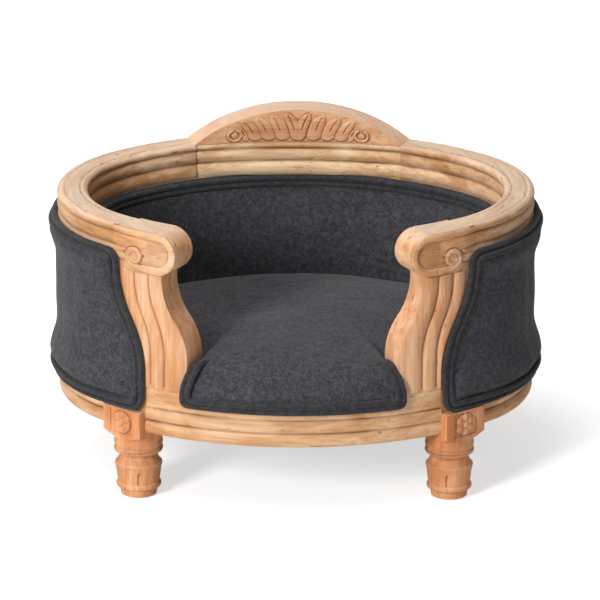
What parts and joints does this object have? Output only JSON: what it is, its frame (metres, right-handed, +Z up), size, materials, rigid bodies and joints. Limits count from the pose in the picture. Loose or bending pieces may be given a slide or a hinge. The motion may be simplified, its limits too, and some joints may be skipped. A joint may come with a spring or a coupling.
{
  "type": "pet bed",
  "caption": "Oval sofa-style pet bed: carved pale wood frame on turned legs, scrolled arms, arched crest, charcoal felt walls and cushion with double welts.",
  "frame": {"origin": "on the floor, under the middle of the bed's plan", "axes": "+X along the length to the right as seen from the front, front opening faces -Y, +Z up"},
  "size_m": [0.649, 0.4955, 0.417],
  "materials": {
    "carved_wood": "bare, sanded",
    "leg_wood": "bare, sanded",
    "frame_wood": "rough sawn",
    "plywood": "raw",
    "dowel_wood": "raw",
    "charcoal_felt": "matt wool felt",
    "charcoal_welt": "matt wool felt",
    "foam": "open-cell foam",
    "glide_felt": "pressed felt",
    "screw_steel": "zinc plated",
    "black_underlining": "non-woven"
  },
  "bodies": {
    "root": {"front_rail": "carved_wood", "back_base_rail": "carved_wood", "right_base_rail": "carved_wood", "left_base_rail": "carved_wood", "back_top_rail": "carved_wood", "right_arm_rail": "carved_wood", "left_arm_rail": "carved_wood", "right_arm_scroll": "carved_wood", "left_arm_scroll": "carved_wood", "crest": "carved_wood", "right_arm_post": "carved_wood", "left_arm_post": "carved_wood", "leg_front_right": "leg_wood", "leg_front_left": "leg_wood", "leg_back_right": "leg_wood", "leg_back_left": "leg_wood", "wall_uprights": "frame_wood", "deck_cleats": "frame_wood", "outer_panel": "plywood", "inner_panel": "plywood", "seat_deck": "plywood", "leg_dowels": "dowel_wood", "upright_dowels": "dowel_wood", "post_dowels": "dowel_wood", "top_rail_dowels": "dowel_wood", "crest_dowels": "dowel_wood", "outer_cover": "charcoal_felt", "wall_cover": "charcoal_felt", "seat_cover": "charcoal_felt", "outer_welt": "charcoal_welt", "wall_welt": "charcoal_welt", "seat_welt": "charcoal_welt", "seat_foam": "foam", "wall_foam": "foam", "outer_padding": "foam", "leg_glides": "glide_felt", "deck_screws": "screw_steel", "dust_cover": "black_underlining"}
  },
  "joints": []
}
